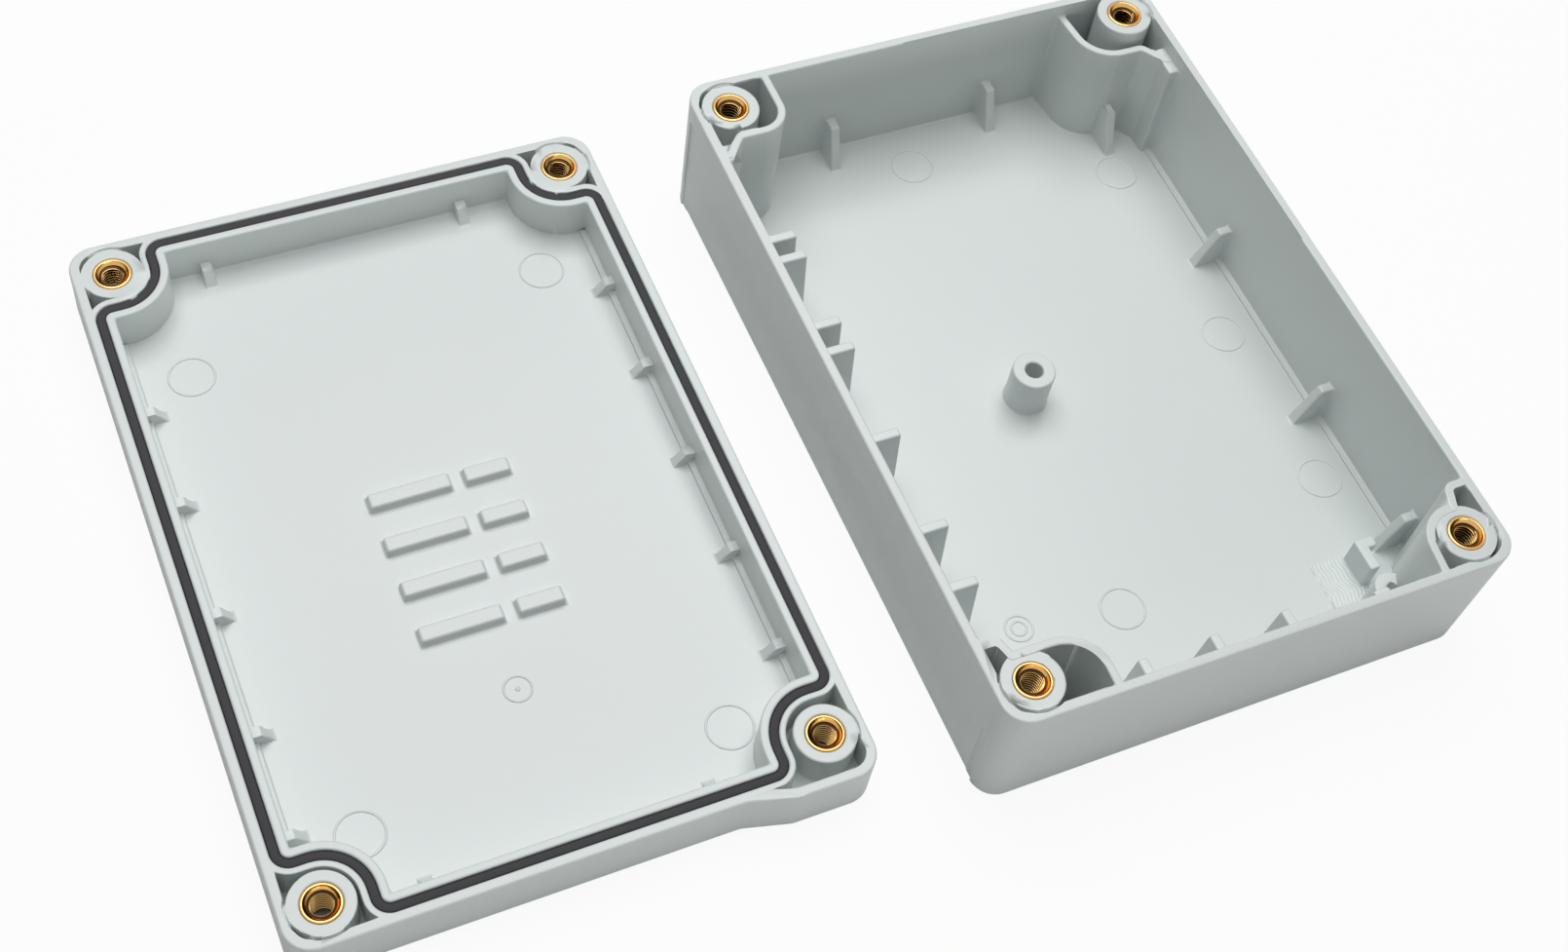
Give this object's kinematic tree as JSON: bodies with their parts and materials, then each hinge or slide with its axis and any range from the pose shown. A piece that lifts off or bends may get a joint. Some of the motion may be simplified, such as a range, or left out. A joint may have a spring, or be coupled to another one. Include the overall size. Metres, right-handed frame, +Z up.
{
  "type": "sealed plastic housing",
  "caption": "Open moulded plastic housing: deep base and shallow lid side by side, each with corner bosses and brass threaded inserts, the lid with a rubber seal in its groove.",
  "frame": {"origin": "middle of the pair's footprint, on the surface that both halves lie on", "axes": "+Z up out of the open sides, +X from the lid to the base, +Y along the long walls towards the back"},
  "size_m": [0.302, 0.214, 0.04],
  "materials": {
    "housing_plastic": "light grey, fine satin mould finish",
    "seal_rubber": "dark grey rubber, soft sheen",
    "insert_brass": "turned brass"
  },
  "bodies": {
    "root": {"base_shell": "housing_plastic", "lid_shell": "housing_plastic", "gasket": "seal_rubber", "base_inserts": "insert_brass", "lid_inserts": "insert_brass"}
  },
  "joints": []
}
